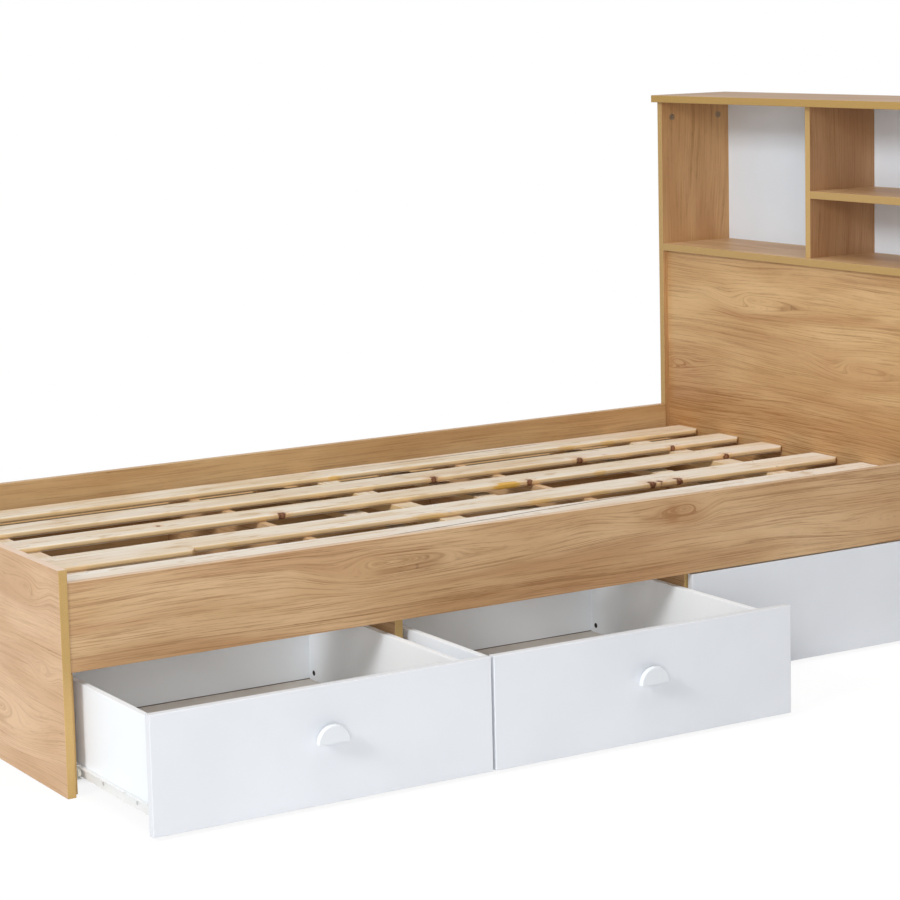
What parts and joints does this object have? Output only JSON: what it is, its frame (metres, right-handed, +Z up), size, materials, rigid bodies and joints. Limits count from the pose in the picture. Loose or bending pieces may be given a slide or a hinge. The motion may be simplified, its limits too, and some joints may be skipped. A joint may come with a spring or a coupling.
{
  "type": "single bed",
  "caption": "Single bed with a bookcase headboard, lengthwise pine slats, and two drawers on roller runners beside a fixed front in one long side, in oak-look and white board.",
  "frame": {"origin": "middle of the footboard's lower edge, on the floor", "axes": "+X from the footboard to the headboard, +Y to the side without drawers, +Z up; drawers pull out towards -Y"},
  "size_m": [2.116, 1.283, 1.067],
  "materials": {
    "oak_laminate": "satin oak-look foil on chipboard, with yellowish banded edges",
    "pine": "planed, uncoated",
    "white_laminate": "white foil on chipboard, satin",
    "white_hardboard": "white printed hardboard",
    "drawer_hardboard": "light grey printed hardboard",
    "white_gloss": "smooth white",
    "white_steel": "white powder coat",
    "roller_plastic": "natural nylon",
    "zinc": "zinc-plated"
  },
  "bodies": {
    "frame": {"footboard": "oak_laminate", "near_rail": "oak_laminate", "far_side_board": "oak_laminate", "packing_board": "oak_laminate", "bay_divider_1": "oak_laminate", "bay_divider_2": "oak_laminate", "headboard_near_side": "oak_laminate", "headboard_far_side": "oak_laminate", "headboard_top": "oak_laminate", "shelf_board": "oak_laminate", "bookcase_divider": "oak_laminate", "middle_shelf": "oak_laminate", "headboard_panel": "oak_laminate", "front_battens": "pine", "near_cleats": "pine", "far_cleats": "pine", "slat_bearers": "pine", "tie_battens": "pine", "slat_1": "pine", "slat_2": "pine", "slat_3": "pine", "slat_4": "pine", "slat_5": "pine", "slat_6": "pine", "fixed_front": "white_laminate", "back_panel": "white_hardboard", "cam_fittings": "zinc", "cabinet_runners_1": "white_steel", "cabinet_runners_2": "white_steel"},
    "drawer_1": {"drawer_1_front": "white_laminate", "drawer_1_left_side": "white_laminate", "drawer_1_right_side": "white_laminate", "drawer_1_back": "white_laminate", "drawer_1_base": "drawer_hardboard", "drawer_1_knob": "white_gloss", "drawer_1_knob_screw": "zinc", "drawer_1_runners": "white_steel"},
    "drawer_rollers_1": {"drawer_1_rollers": "roller_plastic"},
    "cabinet_rollers_1": {"cabinet_rollers_1": "roller_plastic"},
    "drawer_2": {"drawer_2_front": "white_laminate", "drawer_2_left_side": "white_laminate", "drawer_2_right_side": "white_laminate", "drawer_2_back": "white_laminate", "drawer_2_base": "drawer_hardboard", "drawer_2_knob": "white_gloss", "drawer_2_knob_screw": "zinc", "drawer_2_runners": "white_steel"},
    "drawer_rollers_2": {"drawer_2_rollers": "roller_plastic"},
    "cabinet_rollers_2": {"cabinet_rollers_2": "roller_plastic"}
  },
  "joints": [
    {"name": "drawer_1_slide", "type": "slide", "parent": "frame", "child": "drawer_1", "axis": [0, -1, 0], "range_m": [-0.292, 0.108]},
    {"name": "drawer_1_roller_spin", "type": "hinge", "parent": "drawer_1", "child": "drawer_rollers_1", "pos_m": [0.3275, -0.214, 0.035], "axis": [1, 0, 0], "range_deg": [-2300, 2300]},
    {"name": "cabinet_1_roller_spin", "type": "hinge", "parent": "frame", "child": "cabinet_rollers_1", "pos_m": [0.3275, -0.4495, 0.035], "axis": [1, 0, 0], "range_deg": [-2300, 2300]},
    {"name": "drawer_2_slide", "type": "slide", "parent": "frame", "child": "drawer_2", "axis": [0, -1, 0], "range_m": [-0.293, 0.107]},
    {"name": "drawer_2_roller_spin", "type": "hinge", "parent": "drawer_2", "child": "drawer_rollers_2", "pos_m": [0.9625, -0.215, 0.035], "axis": [1, 0, 0], "range_deg": [-2300, 2300]},
    {"name": "cabinet_2_roller_spin", "type": "hinge", "parent": "frame", "child": "cabinet_rollers_2", "pos_m": [0.9625, -0.4495, 0.035], "axis": [1, 0, 0], "range_deg": [-2300, 2300]}
  ],
  "couplings": [
    {"joint": "drawer_1_roller_spin", "follows": "drawer_1_slide", "rad_per_m": 100},
    {"joint": "cabinet_1_roller_spin", "follows": "drawer_1_slide", "rad_per_m": 100},
    {"joint": "drawer_2_roller_spin", "follows": "drawer_2_slide", "rad_per_m": 100},
    {"joint": "cabinet_2_roller_spin", "follows": "drawer_2_slide", "rad_per_m": 100}
  ]
}
